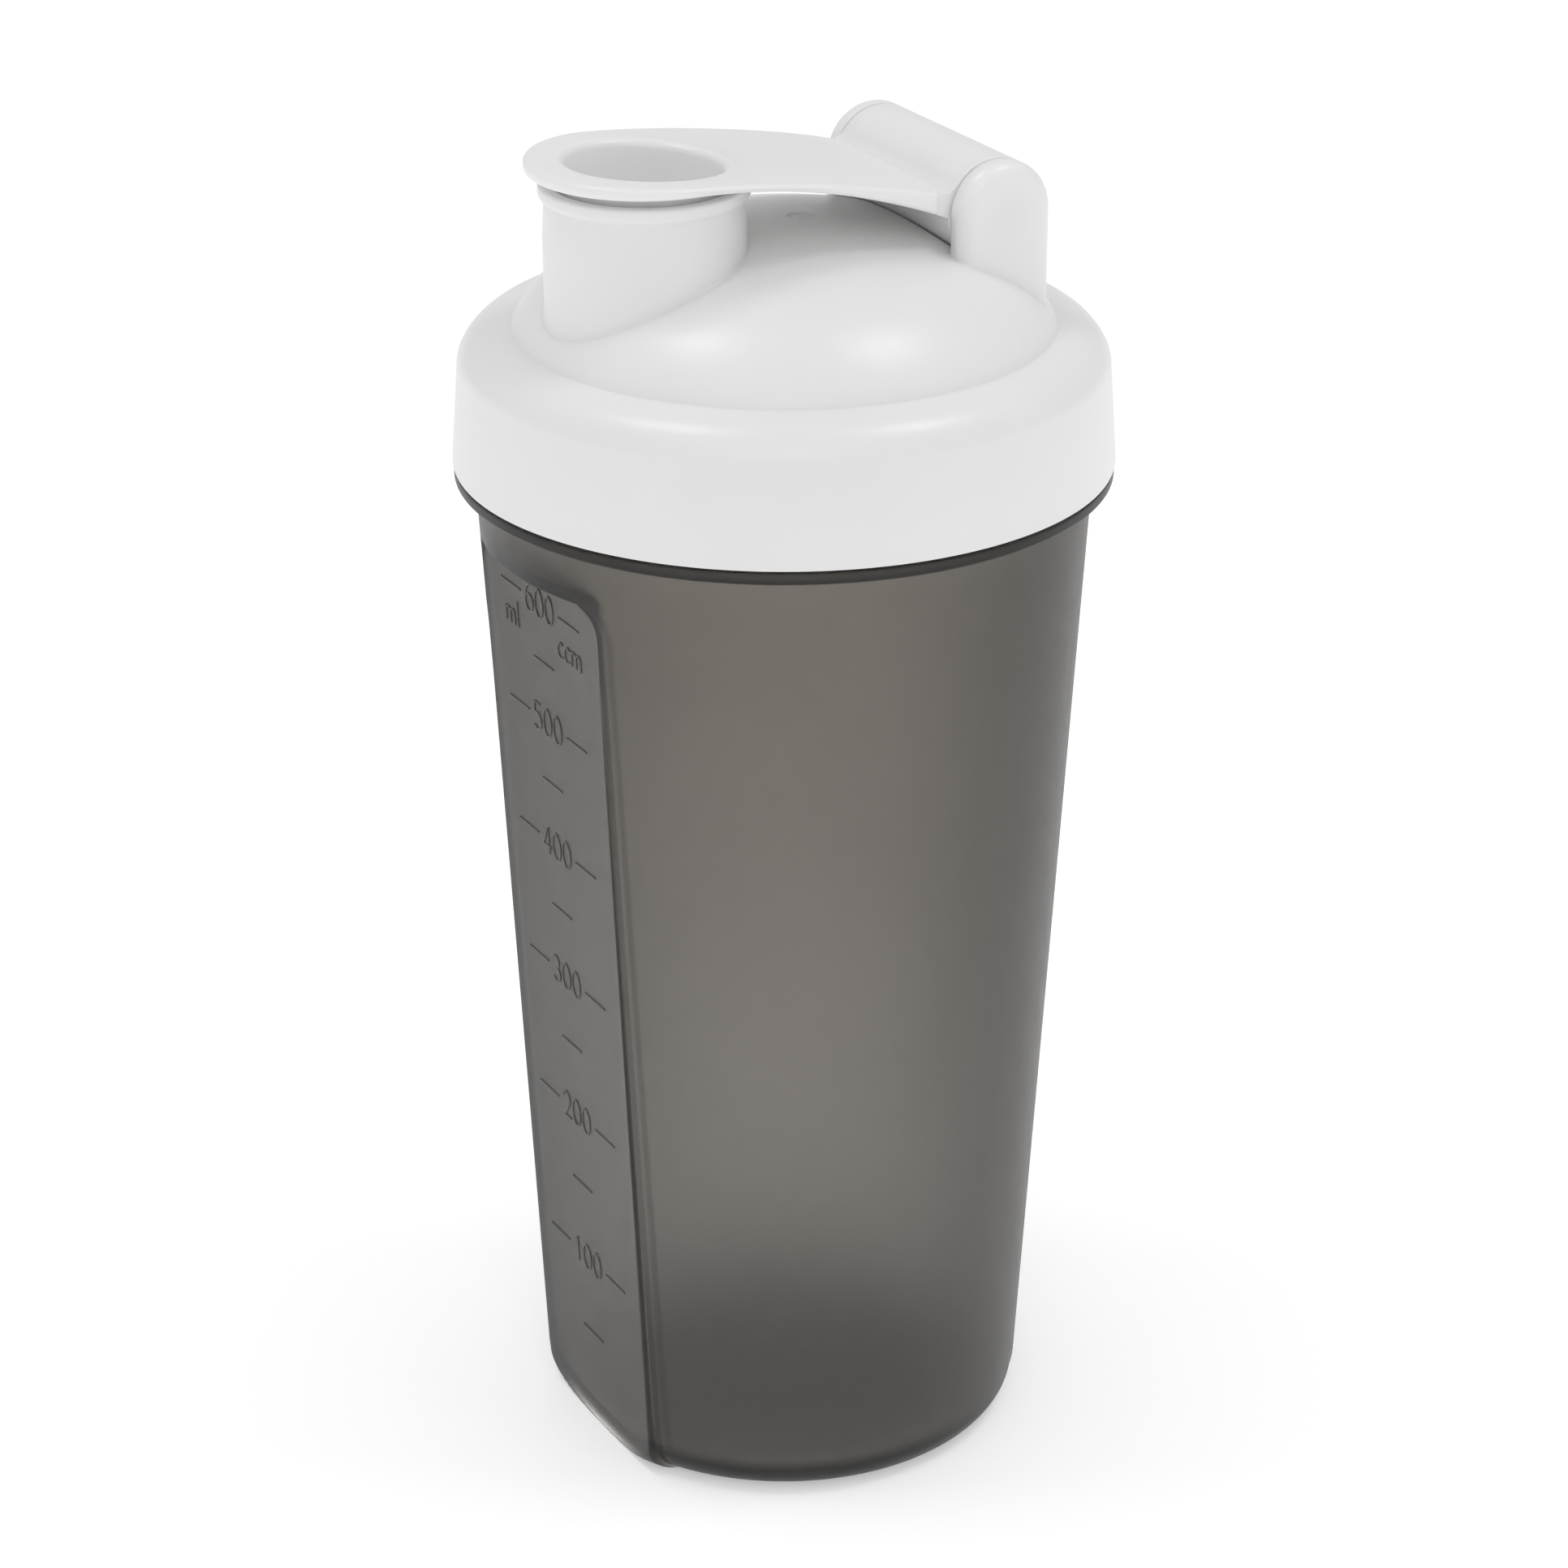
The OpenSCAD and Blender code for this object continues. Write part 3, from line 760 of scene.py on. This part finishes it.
def make_barrel():
    """Hinge barrel with a small rounding at its ends and a stub axle in each lug."""
    half = [(BARREL_HALF + 2.3, 0.0), (BARREL_HALF + 2.3, AXLE_R - 0.3), (BARREL_HALF + 2.0, AXLE_R),
            (BARREL_HALF, AXLE_R), (BARREL_HALF, AXLE_R + 0.4), (BARREL_HALF, BARREL_R - 0.6)]
    half += [(BARREL_HALF - 0.35 + 0.35 * cos(radians(a)), BARREL_R - 0.35 + 0.35 * sin(radians(a)))
             for a in range(0, 91, 15)] + [(BARREL_HALF - 0.8, BARREL_R), (5.0, BARREL_R)]
    rings = [hinge_ring(x, r, 160) for x, r in half + [(-x, r) for x, r in reversed(half)]]
    return mesh("cap_barrel", *loft(rings), WHITE, None, None)


# ---------------------------------------------------------------- scale numbers

def on_panel(x, z, out):
    """A point on the leaning panel, out millimetres in front of it."""
    return (x, -(PANEL_D + PANEL_TAPER * z) - out, z)


def stroke(points, line=0.26, relief=0.16):
    """A thin raised line with a rounded back along points (x, z) on the panel."""
    rings = []
    for i, (x, z) in enumerate(points):
        x0, z0 = points[max(i - 1, 0)]
        x1, z1 = points[min(i + 1, len(points) - 1)]
        length = hypot(x1 - x0, z1 - z0) or 1
        nx, nz = -(z1 - z0) / length, (x1 - x0) / length
        rings.append([on_panel(x + nx * line / 2 * c, z + nz * line / 2 * c, relief * h)
                      for c, h in ((-1, -0.15), (-0.85, 0.75), (0, 1), (0.85, 0.75), (1, -0.15))])
    verts, faces = loft(rings)
    faces += [(0, 1, 2, 3, 4), tuple(range(len(verts) - 5, len(verts)))]
    return verts, faces


# strokes of each figure in a box 0.6 wide and 1 high
FIGURES = {
    "0": [curve(0.3, 0.5, 0.28, 0.5, 90, 450, 28)],
    "1": [[(0.1, 0.78), (0.22, 0.86), (0.34, 1.0), (0.34, 0.5), (0.34, 0.0)]],
    "2": [curve(0.3, 0.73, 0.25, 0.27, 165, -20, 14) + [(0.46, 0.5), (0.25, 0.2), (0.05, 0.02)],
          [(0.05, 0.02), (0.3, 0.02), (0.57, 0.02)]],
    "3": [curve(0.27, 0.755, 0.24, 0.235, 150, -85, 14), curve(0.27, 0.265, 0.27, 0.265, 85, -150, 16)],
    "4": [[(0.45, 0.0), (0.45, 0.5), (0.45, 1.0), (0.25, 0.65), (0.02, 0.27)],
          [(0.02, 0.27), (0.3, 0.27), (0.6, 0.27)]],
    "5": [[(0.52, 0.98), (0.3, 0.98), (0.13, 0.98), (0.1, 0.75), (0.08, 0.55)],
          curve(0.25, 0.31, 0.29, 0.31, 118, -140, 18)],
    "6": [curve(0.3, 0.3, 0.27, 0.3, 90, 450, 24),
          [(0.03, 0.32), (0.06, 0.55), (0.16, 0.8), (0.3, 0.93), (0.48, 0.99)]],
    "m": [[(0.02, 0.6), (0.02, 0.3), (0.02, 0.0)],
          [(0.02, 0.4)] + curve(0.2, 0.42, 0.17, 0.17, 150, 0, 8) + [(0.37, 0.0)],
          [(0.37, 0.4)] + curve(0.55, 0.42, 0.17, 0.17, 150, 0, 8) + [(0.72, 0.0)]],
    "l": [[(0.08, 1.0), (0.08, 0.5), (0.08, 0.0)]],
    "c": [curve(0.26, 0.3, 0.23, 0.3, 50, 310, 16)],
}
ADVANCE = {"m": 0.92, "l": 0.3, "c": 0.56}


def label(text, cx, z, height):
    """Strokes of a word centred on cx with its foot at z."""
    width = sum(ADVANCE.get(ch, 0.74) for ch in text) - 0.12
    x = cx - width * height / 2
    lines = []
    for ch in text:
        for line in FIGURES[ch]:
            lines.append([(x + u * height, z + v * height) for u, v in line])
        x += ADVANCE.get(ch, 0.74) * height
    return lines


def level(ml):
    """Height of the liquid for a volume: a cone that holds the same as the cup."""
    r, taper = 32.86, 0.0683
    return 2 + ((3 * taper * ml * 1000 / pi + r ** 3) ** (1 / 3) - r) / taper


def make_scale():
    """Long marks and numbers at the hundreds, short marks between them, and the two units."""
    lines = []
    for ml in range(100, 601, 100):
        z = level(ml)
        lines += label(str(ml), 0, z - 2.15, 4.3)
        for s in (-1, 1):
            lines.append([(s * 6.0, z), (s * 9.1, z), (s * 12.3, z)])
    for ml in range(50, 551, 100):
        z = level(ml)
        lines.append([(-3.2, z), (0, z), (3.2, z)])
    top = level(600)
    lines += label("ml", -9.2, top - 6.3, 3.9)
    lines += label("ccm", 9.0, top - 6.1, 3.9)
    verts, faces = [], []
    for line in lines:
        add(verts, faces, stroke(line))
    return mesh("scale_marks", verts, faces, MARK, "cup", "scale_mark", ["measuring_scale"])


# ---------------------------------------------------------------- stage

CAMERA_AZ, CAMERA_PITCH = 61.0, 24.14
CAMERA_DISTANCE, CAMERA_HEIGHT, LENS = 0.5902, 0.3654, 100.2484472


def camera():
    """The photograph's viewpoint: long lens, looking down and round from the front."""
    az, pitch = radians(CAMERA_AZ), radians(CAMERA_PITCH)
    data = bpy.data.cameras.new("camera")
    data.sensor_width = 36
    data.lens = LENS
    cam = bpy.data.objects.new("camera", data)
    cam.location = (CAMERA_DISTANCE * sin(az), -CAMERA_DISTANCE * cos(az), CAMERA_HEIGHT)
    cam.rotation_euler = (pi / 2 - pitch, 0, az)
    bpy.context.scene.collection.objects.link(cam)
    bpy.context.scene.camera = cam


def area_light(name, azimuth, elevation, distance, size, power, aim=(0, 0, 0.12)):
    """A soft box that looks at the bottle; azimuth is round from the front."""
    data = bpy.data.lights.new(name, "AREA")
    data.shape, data.size, data.energy = "SQUARE", size, power
    lamp = bpy.data.objects.new(name, data)
    a, e = radians(azimuth), radians(elevation)
    lamp.location = Vector(aim) + Vector((sin(a) * cos(e), -cos(a) * cos(e), sin(e))) * distance
    lamp.rotation_euler = (Vector(aim) - lamp.location).to_track_quat("-Z", "Y").to_euler()
    bpy.context.scene.collection.objects.link(lamp)


def studio():
    """White floor and world, a soft light on each side of the lens and a weak one in front."""
    floor_material, _, _, shader = new_material("floor")
    shader.inputs["Base Color"].default_value = (0.94, 0.94, 0.94, 1)
    shader.inputs["Roughness"].default_value = 0.9
    shader.inputs["Emission Color"].default_value = (1, 1, 1, 1)
    shader.inputs["Emission Strength"].default_value = 0.36
    size = 4000
    corners = [(-size, -size, 0), (size, -size, 0), (size, size, 0), (-size, size, 0)]
    floor = mesh("floor", corners, [(0, 1, 2, 3)], floor_material, None, None)
    world = bpy.data.worlds.new("world")
    world.use_nodes = True
    world.node_tree.nodes["Background"].inputs["Color"].default_value = (1, 1, 1, 1)
    world.node_tree.nodes["Background"].inputs["Strength"].default_value = 0.62
    bpy.context.scene.world = world
    bpy.context.scene.view_settings.view_transform = "Standard"
    area_light("soft_left", CAMERA_AZ - 86, 69, 0.9, 0.25, 1.05)
    area_light("soft_right", CAMERA_AZ + 84, 64, 0.9, 0.25, 1.05)
    area_light("front_fill", CAMERA_AZ, 36, 1.6, 0.8, 1.8)


make_cup()
make_lid_shell()
make_spout()
lugs = [make_lug(s) for s in (-1, 1)]
for lug in lugs:
    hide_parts("hinge_lugs")
make_flip_cap()
make_scale()
carried_over = {"cup_thread": SMOKE, "lid_thread": WHITE, "strainer": SIEVE, "lid_gasket": RUBBER}
for node, material in carried_over.items():
    data = frame["nodes"][node].data
    for i in range(len(data.materials)):
        data.materials[i] = material
camera()
studio()
